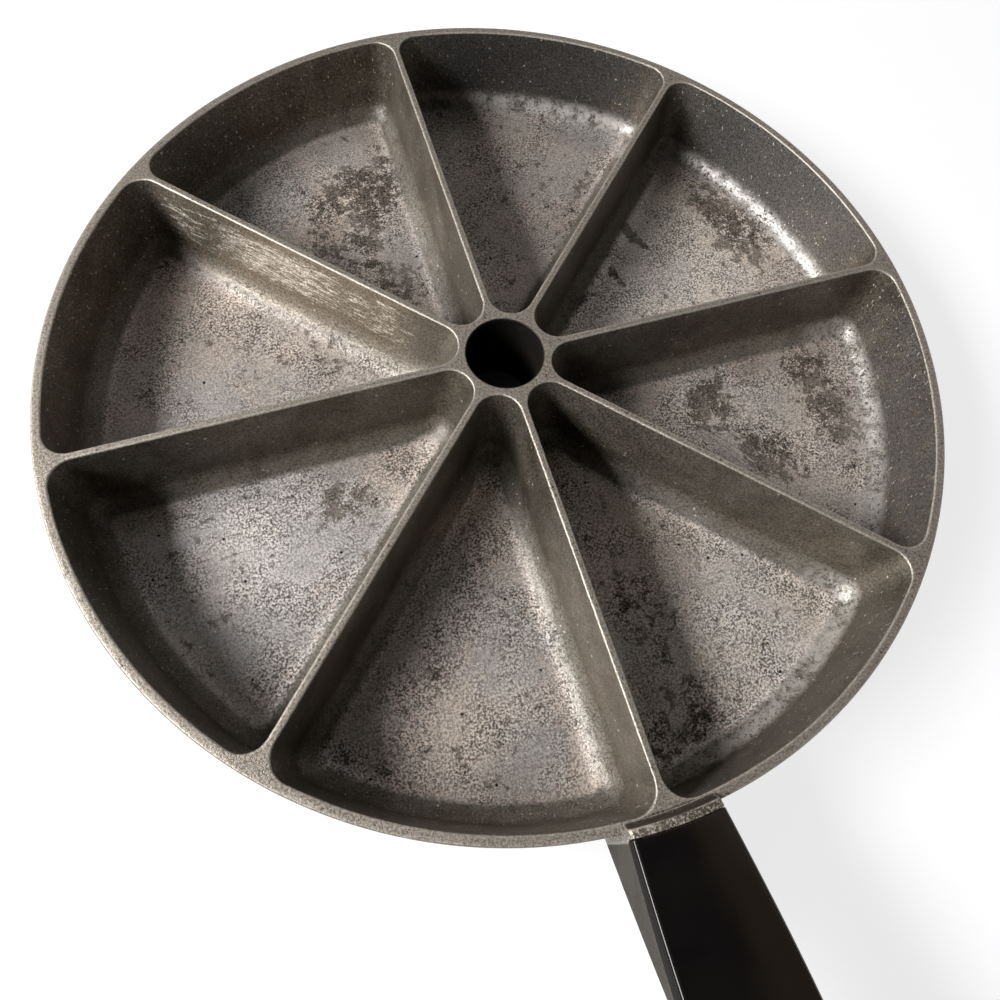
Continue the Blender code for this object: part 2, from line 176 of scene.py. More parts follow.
def finishSurface(piece, width):  # width is how broad the wear along its edges is
    markEdges(piece, width)
    smoothOver(piece)
    print(piece.name + ":", len(piece.data.polygons), "faces")


def standsFor(piece, node, material):  # a finished piece takes the place of its CAD node
    piece.data.materials.clear()
    piece.data.materials.append(material)
    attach(piece, "root")
    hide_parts(node)


# The camera stands where the photograph was taken from.
shot = {"place": (-57.72 * mm, -48.31 * mm, 253.65 * mm), "lens": 33.07, "drop": -0.08,
        "right": (0.94955, -0.30166, 0.08578), "up": (0.23885, 0.87285, 0.42553),
        "back": (-0.20324, -0.38358, 0.90087)}
bpy.ops.object.camera_add(location=shot["place"])
camera = bpy.context.object
axes = Matrix([shot[name] for name in ("right", "up", "back")])
camera.rotation_euler = axes.transposed().to_euler()
camera.data.lens = shot["lens"]
camera.data.sensor_width = 36
camera.data.shift_y = shot["drop"]
camera.data.clip_start = 0.01
bpy.context.scene.camera = camera
print("camera: lens", shot["lens"])

# The casting: pan, ribs, hub, boss, arm and tongue.
pan = {"centreY": 65.65 * mm, "rim": 125 * mm, "rimWidth": 2.6 * mm, "top": 31.5 * mm, "depth": 28 * mm,
       "outerDraft": radians(6), "baseCorner": 7 * mm, "rimEdge": 0.6 * mm, "pockets": 8, "ribWidth": 2 * mm,
       "wallDraft": radians(7), "ribDraft": radians(5), "fillet": 8 * mm, "corner": 6.3 * mm,
       "tip": 6.563 * mm, "floorCorner": 2.5 * mm, "floorTip": 3 * mm, "hubHole": 10.8 * mm,
       "hubEdge": 0.5 * mm, "edge": 0.5 * mm, "unevenness": 0.10 * mm, "longWave": 14 * mm,
       "shortWave": 5 * mm, "trueBelow": 1 * mm, "trueBeyond": 123.9 * mm, "edgeWear": 0.5 * mm}
halfStep = pi / pan["pockets"]
steps = {"rim": 24, "corner": 8, "side": 34, "tip": 16, "wall": 6, "fillet": 9, "topEdge": 4, "outerWall": 7,
         "baseCorner": 9, "hole": 5}
floorLoops = (0.96, 0.86, 0.72, 0.56, 0.4, 0.24, 0.1)  # shares of the floor's outline, towards its middle
baseLoops = (100 * mm, 70 * mm, 40 * mm)


def panPlace(x, y, z):  # a point of the first pocket, which is drawn about +X, put beside the handle
    turn = halfStep - pi / 2
    return (x * cos(turn) - y * sin(turn), pan["centreY"] + x * sin(turn) + y * cos(turn), z)


def arc(centreX, centreY, radius, start, end, count):
    return [(centreX + radius * cos(a), centreY + radius * sin(a)) for a in between(start, end, count)]


def along(start, end, count):  # points between two places, without them
    return [(start[0] + (end[0] - start[0]) * s, start[1] + (end[1] - start[1]) * s)
            for s in between(0, 1, count)[1:-1]]


def pocketParts(wall, rib, corner, tip):  # plan of a pocket, moved inwards at its rim wall and rib walls
    outer = pan["rim"] - pan["rimWidth"] - wall
    half = pan["ribWidth"] / 2 + rib
    distance = outer - corner
    turn = halfStep - asin((half + corner) / distance)
    square = halfStep + pi / 2
    rimArc = arc(0, 0, outer, -turn, turn, steps["rim"])
    upper = arc(distance * cos(turn), distance * sin(turn), corner, turn, square, steps["corner"])[1:]
    tipArc = arc((half + tip) / sin(halfStep), 0, tip, square, 2 * pi - square, steps["tip"])
    lower = arc(distance * cos(turn), -distance * sin(turn), corner, -square, -turn, steps["corner"])[:-1]
    return turn, rimArc, upper, tipArc, lower


def pocketLoop(wall, rib, corner, tip):
    turn, rimArc, upper, tipArc, lower = pocketParts(wall, rib, corner, tip)
    return (rimArc + upper + along(upper[-1], tipArc[0], steps["side"]) + tipArc
            + along(tipArc[-1], lower[0], steps["side"]) + lower)


def sectorLoop():  # the border of one eighth of the pan's top, with one point for each of the pocket's
    turn, rimArc, upper, tipArc, lower = pocketParts(0, 0, pan["corner"], pan["tip"])
    outer = pan["rim"] - pan["rimEdge"]
    hole = pan["hubHole"] + pan["hubEdge"]
    ray = Vector((cos(halfStep), sin(halfStep)))
    far = Vector(upper[-1]).dot(ray)
    close = Vector(tipArc[0]).dot(ray)
    half = steps["corner"] // 2
    quarter = steps["tip"] // 4
    flank = arc(0, 0, outer, turn, halfStep, half)[1:]
    flank += [tuple(ray * d) for d in between(outer, far, steps["corner"] - half)[1:]]
    flank += [tuple(ray * d) for d in between(far, close, steps["side"])[1:-1]]
    flank += [tuple(ray * d) for d in between(close, hole, quarter)]
    hub = arc(0, 0, hole, halfStep, -halfStep, steps["tip"] - 2 * quarter)[1:-1]
    return arc(0, 0, outer, -turn, turn, steps["rim"]) + flank + hub + [(x, -y) for x, y in reversed(flank)]


def pocketRings():  # the loops of a pocket with their heights, from its top edge down to its floor
    top, edge, fillet = pan["top"], pan["edge"], pan["fillet"]
    draft, ribDraft = pan["wallDraft"], pan["ribDraft"]
    rings = []
    for bend in between(0, pi / 2, steps["topEdge"]):
        move = edge * sin(bend) - edge
        loop = pocketLoop(move, move, pan["corner"] - move, pan["tip"] - move)
        rings.append((loop, top - edge * (1 - cos(bend))))
    tangent = pan["depth"] - fillet * (1 - sin(draft))
    for drop in between(edge, tangent, steps["wall"])[1:]:
        loop = pocketLoop(drop * tan(draft), drop * tan(ribDraft), pan["corner"], pan["tip"])
        rings.append((loop, top - drop))
    for share in between(0, 1, steps["fillet"])[1:]:
        bend = (pi / 2 - draft) * share
        inwards = fillet * (cos(draft) - cos(bend + draft))
        drop = tangent + fillet * (sin(bend + draft) - sin(draft))
        corner = pan["corner"] + (pan["floorCorner"] - pan["corner"]) * share ** 2
        tip = pan["tip"] + (pan["floorTip"] - pan["tip"]) * share ** 2
        loop = pocketLoop(tangent * tan(draft) + inwards, tangent * tan(ribDraft) + inwards, corner, tip)
        rings.append((loop, top - drop))
    floor, level = rings[-1]
    middleX = sum(x for x, y in floor) / len(floor)
    for share in floorLoops:
        rings.append(([(middleX + (x - middleX) * share, y * share) for x, y in floor], level))
    return rings


def turnedRings(piece, profile):  # extrudes the selected rim loop along a profile of (radius, height)
    for radius, height in profile:
        bpy.ops.mesh.extrude_region_move()
        shape = bmesh.from_edit_mesh(piece.data)
        for vert in shape.verts:
            if vert.select:
                flat = Vector((vert.co.x, vert.co.y - pan["centreY"])).normalized() * radius
                vert.co = (flat.x, pan["centreY"] + flat.y, height)
        bmesh.update_edit_mesh(piece.data)


def radiusOf(place):
    return sqrt(place.x ** 2 + (place.y - pan["centreY"]) ** 2)


def isOn(place, radius):
    return abs(radiusOf(place) - radius) < near


def roundedOver(radius, edge):  # from the flat top onto an outer side, or with an edge below 0 an inner one
    return [(radius - edge * (1 - sin(a)), pan["top"] - abs(edge) * (1 - cos(a)))
            for a in between(0, pi / 2, 3)[1:]]


def makePan():
    border = sectorLoop()
    rings = pocketRings()
    middle = [((a[0] + b[0]) / 2, (a[1] + b[1]) / 2) for a, b in zip(border, rings[0][0])]
    piece = ringAt([panPlace(x, y, pan["top"]) for x, y in border], "panCasting", filled=False)
    for loop, height in [(middle, pan["top"])] + rings:
        pullTo(piece, [panPlace(x, y, height) for x, y in loop])
    bpy.ops.mesh.edge_face_add()
    bpy.ops.mesh.select_all(action="SELECT")
    bpy.ops.mesh.spin(steps=pan["pockets"] - 1, angle=2 * pi - 2 * halfStep, dupli=True,
                      center=(0, pan["centreY"], 0), axis=(0, 0, 1))
    bpy.ops.mesh.select_all(action="SELECT")
    bpy.ops.mesh.remove_doubles(threshold=weld)

    rim, top, draft, corner = pan["rim"], pan["top"], pan["outerDraft"], pan["baseCorner"]
    centre = rim - top * tan(draft) - corner * tan((pi / 2 - draft) / 2)
    outside = roundedOver(rim, pan["rimEdge"])
    start = (centre + corner * cos(draft), corner - corner * sin(draft))
    outside += along(outside[-1], start, steps["outerWall"])
    outside += arc(centre, corner, corner, -draft, -pi / 2, steps["baseCorner"])
    outside += [(radius, 0) for radius in baseLoops]
    pickEdges(piece, lambda place: isOn(place, rim - pan["rimEdge"]))
    turnedRings(piece, outside)

    hole, lip = pan["hubHole"], pan["hubEdge"]
    inside = roundedOver(hole, -lip)
    inside += [(hole, height) for height in between(top - lip, lip, steps["hole"])[1:]]
    inside += [(hole + lip, 0)]
    pickEdges(piece, lambda place: isOn(place, hole + lip) and place.z > top / 2)
    turnedRings(piece, inside)
    pickEdges(piece, lambda place: place.z < near and (isOn(place, baseLoops[-1]) or isOn(place, hole + lip)))
    bpy.ops.mesh.bridge_edge_loops()
    return closeUp(piece)


def makeUneven(piece):  # the cast surface isn't quite true
    moves = []
    for vertex in piece.data.vertices:
        wave = noise.noise(vertex.co / pan["longWave"]) + 0.5 * noise.noise(vertex.co / pan["shortWave"])
        held = vertex.co.z < pan["trueBelow"] or radiusOf(vertex.co) > pan["trueBeyond"]
        moves.append(Vector() if held else vertex.normal * wave * pan["unevenness"])
    for vertex, move in zip(piece.data.vertices, moves):
        vertex.co += move


# The handle's shape, which the boss, the arm and the grip share. Heights are over the rim.
handle = {"seam": 126.3 * mm, "length": 130 * mm, "rootWidth": 23.4 * mm, "width": 28.6 * mm,
          "swell": 50 * mm, "endTaper": 3 * mm, "slope": 0.20, "sag": 0.30, "crown": 0.8 * mm,
          "edge": 1.4 * mm, "bellyCurve": 1.15, "bellyEdge": 4 * mm, "endRadius": 12.5 * mm,
          "endFlat": 0.12, "endClose": 0.45, "hangHole": 3.5 * mm, "hangInset": 12 * mm,
          "seamGap": 0.12 * mm, "gap": 0.15 * mm, "roomDepth": 6 * mm, "softEdge": 0.25 * mm}
boss = {"rise": 5 * mm, "thickness": 2.1 * mm, "cove": 1.6 * mm, "coveRise": 4.5 * mm, "edge": 0.3 * mm,
        "low": -0.6 * mm, "over": 10 * mm, "spread": radians(8)}
arm = {"length": 40 * mm, "foot": 4 * mm, "tip": 1.2 * mm, "splitRise": 1 * mm, "splitSlope": 0.09,
       "inPan": 1.3 * mm}
tongue = {"width": 13 * mm, "thickness": 3.5 * mm, "end": 104 * mm, "gap": 0.3 * mm}
fixing = {"front": 63.76 * mm, "rear": 94 * mm, "bore": 2.7 * mm, "insertRoom": 4.0 * mm,
          "insertDepth": 5.9 * mm}


def handlePlace(x, reach, height):
    return (x, pan["centreY"] - handle["seam"] - reach, pan["top"] + height)


def splitHeight(reach):
    return arm["splitRise"] + arm["splitSlope"] * reach


def topHeight(reach):
    return boss["rise"] + handle["slope"] * reach - handle["sag"] * reach ** 2


def bellyHeight(reach):
    if reach < arm["length"]:
        return splitHeight(reach) - arm["tip"]
    return splitHeight(arm["length"]) - arm["tip"] + handle["bellyCurve"] * (reach - arm["length"]) ** 2


def halfWidth(reach):
    if reach < handle["swell"]:
        return (handle["rootWidth"] + (handle["width"] - handle["rootWidth"])
                * sin(pi / 2 * reach / handle["swell"])) / 2
    taper = (reach - handle["swell"]) / (handle["length"] - handle["swell"])
    return (handle["width"] - handle["endTaper"] * taper ** 2) / 2


def handleSection(reach, bottom, lowEdge, narrow=1.0):  # crowned top, round edges, flat underside
    half = halfWidth(reach) * narrow
    top = topHeight(reach)
    low = min(lowEdge, (top - bottom) / 2, half)
    high = min(handle["edge"], (top - handle["crown"] - bottom) / 2, half)
    flat = half - high
    side = [(x, top - handle["crown"] * (x / half) ** 2) for x in between(0, flat, 10)]
    shoulder = side.pop()[1]
    side += arc(flat, shoulder - high, high, pi / 2, 0, 10)
    side += along(side[-1], (half, bottom + low), 5)
    side += arc(half - low, bottom + low, low, 0, -pi / 2, 8)
    left = [(-x, z) for x, z in reversed(side[1:])]
    floor = between(half - low, low - half, 8)[1:-1]
    return [handlePlace(x, reach, z) for x, z in side + [(x, bottom) for x in floor] + left]


def placeOnTongue(piece, reach, height):  # height is over the tongue's underside, which slopes as the split
    under = splitHeight(reach) - arm["tip"] + tongue["gap"]
    makeActive(piece)
    piece.matrix_world = (Matrix.Translation(handlePlace(0, reach, under))
                          @ Matrix.Rotation(-atan(arm["splitSlope"]), 4, "X")
                          @ Matrix.Translation((0, 0, height)))
    bpy.ops.object.transform_apply(location=True, rotation=True, scale=True)
    return piece


def drillTongue(piece, radius, low, high):  # the same hole at both screws
    for reach in (fixing["front"], fixing["rear"]):
        join(piece, placeOnTongue(rod(radius, high - low), reach, (low + high) / 2), "DIFFERENCE")


def makeArm():
    wall = handle["seam"] - pan["rim"] + pan["top"] * tan(pan["outerDraft"])
    foot = arm["foot"] - pan["top"]
    root = pan["rim"] - handle["seam"] - arm["inPan"]
    start, end = -boss["thickness"], arm["length"]
    piece = block([(start, splitHeight(start)), (end, splitHeight(end)), (end, splitHeight(end) - arm["tip"]),
                   (-wall, foot), (-wall - arm["inPan"], foot), (root, boss["low"]), (start, boss["low"])],
                  2 * handle["width"], "armBlock")
    reaches = [-12 * mm] + between(-8 * mm, arm["length"] + 2 * mm, 25)
    below = -pan["top"] - 1 * mm
    shape = tube([handleSection(reach, below, 0.5 * mm) for reach in reaches], "handleEnvelope")
    makeActive(shape)
    bpy.ops.object.duplicate()
    second = bpy.context.object
    join(piece, shape, "INTERSECT")

    inner = handle["seam"] - boss["thickness"]
    foot = inner - boss["cove"]
    profile = [(handle["seam"], boss["over"]), (handle["seam"], -2 * mm), (foot, -0.5 * mm), (foot, 0.0)]
    profile += [(foot + boss["cove"] * sin(a), boss["coveRise"] * (1 - cos(a)))
                for a in between(0, pi / 2, 10)[1:]]
    profile += [(inner, boss["over"])]
    start = boss["spread"]
    points = [(r * sin(start), pan["centreY"] - r * cos(start), pan["top"] + z) for r, z in profile]
    lip = ringAt(points, "bossRing")
    bpy.ops.mesh.spin(steps=32, angle=2 * start, center=(0, pan["centreY"], 0), axis=(0, 0, 1))
    closeUp(lip)
    join(lip, second, "INTERSECT")
    print("boss:", len(lip.data.polygons), "faces")
    join(piece, lip, "UNION")

    under = tongue["gap"] - arm["tip"]
    bar = slab(arm["length"] - tongue["width"], tongue["end"], under, under + tongue["thickness"],
               tongue["width"], "tongueBar")
    join(piece, bar, "UNION")
    drillTongue(piece, fixing["bore"], -2 * mm, tongue["thickness"] + 2 * mm)
    return softenEdges(piece, boss["edge"])


def makeCasting(material):
    piece = makePan()
    join(piece, makeArm(), "UNION")
    makeUneven(piece)
    finishSurface(piece, pan["edgeWear"])
    standsFor(piece, "pan_casting", material)


def makeGrip(material):
    rounding = handle["length"] - handle["endRadius"]
    rings = []
    for reach in between(-4 * mm, rounding, 64):
        growth = min(max((reach - arm["length"]) / (handle["swell"] / 2), 0.0), 1.0)
        edge = arm["tip"] + (handle["bellyEdge"] - arm["tip"]) * growth
        rings.append(handleSection(reach, bellyHeight(reach), edge))
    for bend in between(0, pi / 2, 16)[1:]:
        reach = rounding + handle["endRadius"] * sin(bend)
        narrow = handle["endFlat"] + (1 - handle["endFlat"]) * cos(bend)
        middle = pan["top"] + (topHeight(reach) + bellyHeight(reach)) / 2
        close = 1 - handle["endClose"] * (1 - cos(max(2 * bend - pi / 2, 0.0)))
        full = handleSection(reach, bellyHeight(reach), handle["bellyEdge"], narrow)
        rings.append([(x, y, middle + (z - middle) * close) for x, y, z in full])
    piece = tube(rings, "handleGrip")

    seam = rod(handle["seam"] + handle["seamGap"], 60 * mm, (0, pan["centreY"], pan["top"]), 512)
    join(piece, seam, "DIFFERENCE")
    gap, deep = handle["gap"], -handle["roomDepth"]
    join(piece, slab(-20 * mm, arm["length"] + gap, deep, gap, 2 * handle["width"], "armRoom"), "DIFFERENCE")
    high = tongue["gap"] - arm["tip"] + tongue["thickness"] + gap
    room = slab(arm["length"] - tongue["width"] - gap, tongue["end"] + gap, deep, high,
                tongue["width"] + 2 * gap, "tongueRoom")
    join(piece, room, "DIFFERENCE")
    thick = tongue["thickness"]
    drillTongue(piece, fixing["insertRoom"], thick - 1 * mm, thick + fixing["insertDepth"])
    reach = handle["length"] - handle["hangInset"]
    join(piece, rod(handle["hangHole"], 60 * mm, handlePlace(0, reach, topHeight(reach))), "DIFFERENCE")
    softenEdges(piece, handle["softEdge"])
    finishSurface(piece, pan["edgeWear"])
    standsFor(piece, "handle_grip", material)


# The fixings under the grip: slotted screws from beneath, split washers and inserts moulded into the grip.
screw = {"shank": 2.4 * mm, "length": 9.89 * mm, "point": 0.6 * mm, "thread": 0.2 * mm, "pitch": 0.7 * mm,
         "head": 4.1 * mm, "headSide": 0.96 * mm, "headHeight": 2.4 * mm, "slot": 1.1 * mm,
         "plain": 1.2 * mm, "rim": 0.1 * mm, "softEdge": 0.08 * mm, "base": -1.7 * mm}
washer = {"outer": 4.2 * mm, "inner": 2.7 * mm, "thickness": 1.1 * mm, "split": 1 * mm, "slant": radians(5),
          "softEdge": 0.12 * mm, "base": -1.4 * mm}
insert = {"outer": 3.7 * mm, "inner": 2.7 * mm, "length": 4.99 * mm, "ridge": 0.18 * mm, "ridges": 36,
          "groove": 0.4 * mm, "lead": 0.4 * mm, "base": 4.1 * mm}


def roundRing(radius, height, count=40, ridge=0.0):  # every other point stands back by the ridge
    turn = 2 * pi / count
    return [((radius - ridge * (i % 2)) * cos(i * turn), (radius - ridge * (i % 2)) * sin(i * turn), height)
            for i in range(count)]


def makeScrew():
    head, shank, side, pitch = screw["head"], screw["shank"], screw["headSide"], screw["pitch"]
    profile = [(0.25 * mm, -screw["headHeight"])]
    profile += [(head * cos(bend), -side - (screw["headHeight"] - side) * sin(bend))
                for bend in between(radians(80), 0, 8)]
    profile += [(head, -screw["rim"]), (head - screw["rim"], 0), (shank, 0), (shank, screw["plain"])]
    height = screw["plain"]
    while height < screw["length"] - screw["point"] - pitch:
        profile += [(shank - screw["thread"], height + pitch * 0.5), (shank, height + pitch)]
        height += pitch
    profile += [(shank - screw["point"], screw["length"])]
    piece = tube([roundRing(radius, height) for radius, height in profile], "handleScrew")
    clearSelection()
    bpy.ops.mesh.primitive_cube_add(size=1, location=(0, 0, -screw["headHeight"]),
                                    scale=(3 * head, screw["slot"], screw["headHeight"]))
    bpy.ops.object.transform_apply(location=True, rotation=True, scale=True)
    join(piece, bpy.context.object, "DIFFERENCE")
    return softenEdges(piece, screw["softEdge"], angle=50, segments=2)


def makeWasher():
    outer, inner, thick = washer["outer"], washer["inner"], washer["thickness"]
    section = [(inner, 0), (outer, 0), (outer, thick), (inner, thick)]
    half = asin(washer["split"] / 2 / inner) + washer["slant"]
    rings = []
    for angle in between(-pi / 2 + half, 3 * pi / 2 - half, 60):
        turns = [angle + washer["slant"] * (2 * z / thick - 1) for r, z in section]
        rings.append([(r * cos(a), r * sin(a), z) for (r, z), a in zip(section, turns)])
    return softenEdges(tube(rings, "lockWasher"), washer["softEdge"], segments=2)


def makeInsert():  # two knurled bands with a plain groove between them
    length, outer, ridge = insert["length"], insert["outer"], insert["ridge"]
    waist, lead, middle = outer - insert["groove"], outer - insert["lead"], length / 2
    profile = [(lead, 0, 0.0), (outer - 0.1 * mm, 0.3 * mm, ridge), (outer, 0.5 * mm, ridge),
               (outer, middle - 0.6 * mm, ridge), (waist, middle - 0.4 * mm, 0.0),
               (waist, middle + 0.4 * mm, 0.0), (outer, middle + 0.6 * mm, ridge),
               (outer, length - 0.5 * mm, ridge), (lead, length, 0.0)]
    rings = [roundRing(radius, height, 2 * insert["ridges"], depth) for radius, height, depth in profile]
    return join(tube(rings, "threadedInsert"), rod(insert["inner"], 3 * length), "DIFFERENCE")


def makeFixings(steel, brass):
    for make, base, node, slot, material in (
            (makeScrew, screw["base"], "handle_screw", "plated_steel", steel),
            (makeWasher, washer["base"], "lock_washer", "plated_steel", steel),
            (makeInsert, insert["base"], "threaded_insert", "brass", brass)):
        front = make()
        finishSurface(front, 0.15 * mm)
        rear = front.copy()
        rear.data = front.data.copy()
        bpy.context.collection.objects.link(rear)
        for piece, place in ((front, "front"), (rear, "rear")):
            piece.name = piece.data.name = make.__name__[4:].lower() + place.capitalize()
            placeOnTongue(piece, fixing[place], base)
            standsFor(piece, node + "_" + place, material)


# Shader building: plain helpers first, then the effects that several finishes share.
def treeOf(*values):  # the node tree that the first linked value is in
    return next(value.id_data for value in values if isinstance(value, bpy.types.NodeSocket))


def feed(socket, value):  # a socket takes a link or a plain value
    if isinstance(value, bpy.types.NodeSocket):
        socket.id_data.links.new(value, socket)
    else:
        socket.default_value = value


def addNode(kind, inputs, **settings):  # inputs are links or plain values, by label or number
    node = treeOf(*inputs.values()).nodes.new("ShaderNode" + kind)
    for name, value in settings.items():
        setattr(node, name, value)
    for label, value in inputs.items():
        feed(node.inputs[label], value)
    return node.outputs


def calculate(operation, *values):
    return addNode("Math", dict(enumerate(values)), operation=operation)[0]


plus = partial(calculate, "ADD")
minus = partial(calculate, "SUBTRACT")
over = partial(calculate, "DIVIDE")
most = partial(calculate, "MAXIMUM")
scaled = partial(calculate, "MULTIPLY_ADD")  # value, factor and what is added


def times(first, *others):
    for value in others:
        first = calculate("MULTIPLY", first, value)
    return first


def summed(start, *terms):  # adds each value times its factor
    for value, factor in terms:
        start = scaled(value, factor, start)
    return start


def lengthOf(x, y):
    return calculate("SQRT", plus(times(x, x), times(y, y)))


def rise(value, low, high):  # smooth step from 0 at low to 1 at high
    return addNode("MapRange", {"Value": value, "From Min": low, "From Max": high},
                   interpolation_type="SMOOTHSTEP")[0]


def vectorOf(*values):
    return addNode("CombineXYZ", dict(enumerate(values)))[0]


def partsOf(vector):
    return list(addNode("SeparateXYZ", {0: vector}))


def moved(vector, shift=(0, 0, 0), scale=(1, 1, 1), turn=0.0):  # the turn is about Z, in degrees
    return addNode("Mapping", {"Vector": vector, "Location": shift, "Rotation": (0, 0, radians(turn)),
                               "Scale": scale})[0]


def noiseOf(place, scale, detail=2.0, rough=0.5, swirl=0.0):
    return addNode("TexNoise", {"Vector": place, "Scale": scale, "Detail": detail, "Roughness": rough,
                                "Distortion": swirl})[0]


def blend(share, first, second):  # from the first colour or value at share 0 to the second at 1
    first, second = [(*color, 1) if isinstance(color, tuple) else color for color in (first, second)]
    return addNode("Mix", {0: share, 6: first, 7: second}, data_type="RGBA")[2]


def painted(color, tones, *layers):  # lays tones over a colour, each by the product of its shares
    for name, *shares in layers:
        color = blend(times(*shares), color, tones[name])
    return color


def shade(color, factor):  # the same colour, brighter or darker
    return addNode("VectorMath", {0: color, "Scale": factor}, operation="SCALE")[0]


def makeEffect(name, build, **takes):  # a node group; a None among its inputs is a place or a direction
    group = bpy.data.node_groups.new(name, "ShaderNodeTree")
    for label, value in takes.items():
        kind = "NodeSocketVector" if value is None else "NodeSocketFloat"
        socket = group.interface.new_socket(name=label, in_out="INPUT", socket_type=kind)
        if value is not None:
            socket.default_value = value
    gives = build(group.nodes.new("NodeGroupInput").outputs)
    for label in gives:
        group.interface.new_socket(name=label, in_out="OUTPUT", socket_type="NodeSocketFloat")
    result = group.nodes.new("NodeGroupOutput").inputs
    for label, value in gives.items():
        feed(result[label], value)
    return group


def useEffect(effect, **values):
    return addNode("Group", values, node_tree=effect)


def speckle(given):  # ragged dark marks of an etched casting, denser or sparser
    place, scale = given["Place"], given["Scale"]
    level = scaled(given["Density"], 0.28, 0.29)
    marks = rise(noiseOf(place, scale, 3.5, 0.72, 0.15), plus(level, 0.025), minus(level, 0.025))
    return {"Marks": marks, "Height": minus(noiseOf(place, times(scale, 2.2), 2.0, 0.6), times(marks, 0.8))}


def scratches(given):  # thin lines along X of the place that is given, broken up into lengths
    place, width = given["Place"], given["Width"]
    x, y, z = partsOf(place)
    bent = scaled(noiseOf(place, 60.0, 1.0), 0.004, y)
    streak = noiseOf(vectorOf(over(x, given["Length"]), over(bent, width), over(z, width)), 1.0, 1.0)
    level = minus(0.84, times(given["Share"], 0.34))
    return {"Scratches": rise(streak, level, plus(level, 0.06))}


def flecks(given):  # small round specks, some way apart
    cells = addNode("TexVoronoi", {"Vector": given["Place"], "Scale": given["Scale"]})
    close = rise(cells["Distance"], given["Size"], times(given["Size"], 0.5))
    chosen = calculate("LESS_THAN", partsOf(cells["Color"])[0], given["Share"])
    return {"Flecks": times(close, chosen)}


def clouds(given):  # soft uneven patches
    cloud = noiseOf(given["Place"], given["Scale"], 4.0, 0.55, 0.4)
    return {"Clouds": rise(cloud, minus(0.5, given["Contrast"]), plus(0.5, given["Contrast"]))}


def oval(given):  # one stain with a soft border, turned about Z
    x, y, z = partsOf(given["Place"])
    x = minus(x, given["Left"])
    y = minus(y, given["Far"])
    c = calculate("COSINE", given["Turn"])
    s = calculate("SINE", given["Turn"])
    away = lengthOf(over(plus(times(x, c), times(y, s)), given["Long"]),
                    over(minus(times(y, c), times(x, s)), given["Wide"]))
    return {"Stain": rise(away, 1.35, 0.35)}


def panParts(given):  # where on the pan a point lies, from its place and its normal
    x, y, z = partsOf(given["Place"])
    y = minus(y, pan["centreY"])
    nx, ny, nz = partsOf(given["Normal"])
    radius = lengthOf(x, y)
    outwards = over(plus(times(x, nx), times(y, ny)), radius)
    flat = rise(nz, 0.88, 0.985)
    bend = times(rise(nz, 0.20, 0.65), rise(nz, 0.995, 0.93))
    side = times(rise(outwards, 0.2, 0.5), rise(radius, 112 * mm, 114 * mm))
    beyond = rise(radius, pan["rim"], pan["rim"] + 0.4 * mm)
    across = calculate("ABSOLUTE", x)
    front = calculate("LESS_THAN", y, 0.0)  # the handle's half of the pan
    seam, lip, half = handle["seam"], handle["seam"] - boss["thickness"], handle["rootWidth"] / 2
    cove = times(rise(radius, lip + 0.15 * mm, lip - 0.15 * mm), rise(radius, lip - 2.0 * mm, lip - 1.5 * mm))
    ring = times(rise(radius, lip, lip + 0.3 * mm), rise(radius, seam + 0.4 * mm, seam + 0.1 * mm))
    angle = calculate("ARCTAN2", y, x)
    turned = plus(angle, halfStep)
    fold = minus(calculate("FLOORED_MODULO", turned, 2 * halfStep), halfStep)  # from the pocket's middle
    number = calculate("FLOOR", over(turned, 2 * halfStep))
    return {"Top": times(flat, rise(z, 30.6 * mm, 31.1 * mm)),
            "Floor": times(flat, rise(z, 14 * mm, 9 * mm)),
            "Fillet": times(rise(z, 14 * mm, 11 * mm), bend),
            "RimWall": times(rise(outwards, -0.4, -0.75), rise(radius, 98 * mm, 106 * mm)),
            "Outside": most(most(side, beyond), rise(nz, -0.3, -0.6)),
            "Cove": times(rise(across, half + 0.3 * mm, half - 0.3 * mm), times(cove, front)),
            "Lip": times(times(rise(across, 15.5 * mm, 14.5 * mm), front), ring),
            "Hole": rise(radius, pan["hubHole"] + 0.6 * mm, pan["hubHole"] + 0.2 * mm),
            "Radius": radius, "Height": z, "Round": times(angle, pan["rim"]),
            "Along": times(radius, calculate("COSINE", fold)),
            "Rib": scaled(calculate("SIGN", fold), 0.21, times(number, 0.73))}


castSpeckle = makeEffect("castSpeckle", speckle, Place=None, Scale=900.0, Density=0.3)
hairScratches = makeEffect("hairScratches", scratches, Place=None, Length=0.012, Width=0.0004, Share=0.3)
tinyFlecks = makeEffect("tinyFlecks", flecks, Place=None, Scale=400.0, Size=0.2, Share=0.2)
softClouds = makeEffect("softClouds", clouds, Place=None, Scale=30.0, Contrast=0.2)
stainSpot = makeEffect("stainSpot", oval, Place=None, Left=0.0, Far=0.0, Long=0.01, Wide=0.01, Turn=0.0)
panZones = makeEffect("panZones", panParts, Place=None, Normal=None)
print("shared effects:", len(bpy.data.node_groups))


def cloudsOf(place, scale, contrast):
    return useEffect(softClouds, Place=place, Scale=scale, Contrast=contrast)["Clouds"]


def flecksOf(place, scale, size, share):
    return useEffect(tinyFlecks, Place=place, Scale=scale, Size=size, Share=share)["Flecks"]


def linesOf(place, turn, length, width, share):  # scratches: turn in degrees, length and width in mm
    turned = moved(place, turn=turn) if turn else place
    return useEffect(hairScratches, Place=turned, Length=length * mm, Width=width * mm,
                     Share=share)["Scratches"]


